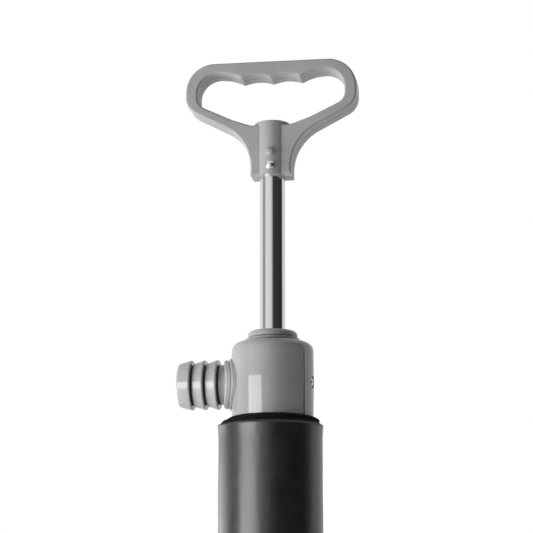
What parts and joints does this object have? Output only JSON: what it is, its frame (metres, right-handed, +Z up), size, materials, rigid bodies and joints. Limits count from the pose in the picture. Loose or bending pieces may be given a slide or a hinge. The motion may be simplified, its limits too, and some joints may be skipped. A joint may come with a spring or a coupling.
{
  "type": "hand bilge pump",
  "caption": "Hand bilge pump with a finger-loop handle on a drawn steel rod, a barbed side spout and a foam float round its barrel.",
  "frame": {"origin": "centre of the foot's underside, on the barrel's axis", "axes": "+Z up the barrel towards the handle, -X along the outlet spout, -Y out of the handle's flat front"},
  "size_m": [0.1278, 0.0738, 0.6531],
  "materials": {
    "handle_plastic": "satin",
    "head_plastic": "gloss",
    "spout_plastic": "gloss",
    "rod_steel": "polished",
    "rivet_steel": "polished",
    "steel": "satin",
    "float_foam": "matte",
    "barrel_plastic": "gloss",
    "foot_plastic": "satin",
    "inner_plastic": "satin",
    "seal_rubber": "satin"
  },
  "bodies": {
    "barrel": {"barrel_tube": "barrel_plastic", "float_sleeve": "float_foam", "pump_head": "head_plastic", "head_seal": "seal_rubber", "head_screw": "steel", "gland_nut": "head_plastic", "gland_seal": "seal_rubber", "rod_bush": "inner_plastic", "outlet_spout": "spout_plastic", "foot_strainer": "foot_plastic", "foot_screws": "steel", "foot_valve_seat": "inner_plastic", "foot_seal": "seal_rubber", "foot_valve_stem": "inner_plastic"},
    "foot_valve": {"foot_valve_disc": "seal_rubber"},
    "cup_seal": {"piston_cup_seal": "seal_rubber"},
    "rod": {"piston_rod": "rod_steel", "rod_plug": "inner_plastic", "bump_ring": "seal_rubber", "piston_body": "inner_plastic", "piston_plate": "inner_plastic", "piston_washer": "steel", "piston_nut": "steel", "handle_grip": "handle_plastic", "handle_pin": "handle_plastic", "handle_rivet": "rivet_steel"},
    "piston_valve": {"piston_valve_disc": "seal_rubber"}
  },
  "joints": [
    {"name": "rod_slide", "type": "slide", "parent": "barrel", "child": "cup_seal", "axis": [0, 0, 1], "range_m": [-0.108, 0.192]},
    {"name": "rod_turn", "type": "hinge", "parent": "cup_seal", "child": "rod", "pos_m": [0, 0, 0.2], "axis": [0, 0, 1], "continuous": true},
    {"name": "foot_valve_lift", "type": "slide", "parent": "barrel", "child": "foot_valve", "axis": [0, 0, 1], "range_m": [0, 0.003]},
    {"name": "piston_valve_lift", "type": "slide", "parent": "rod", "child": "piston_valve", "axis": [0, 0, 1], "range_m": [0, 0.003]}
  ]
}
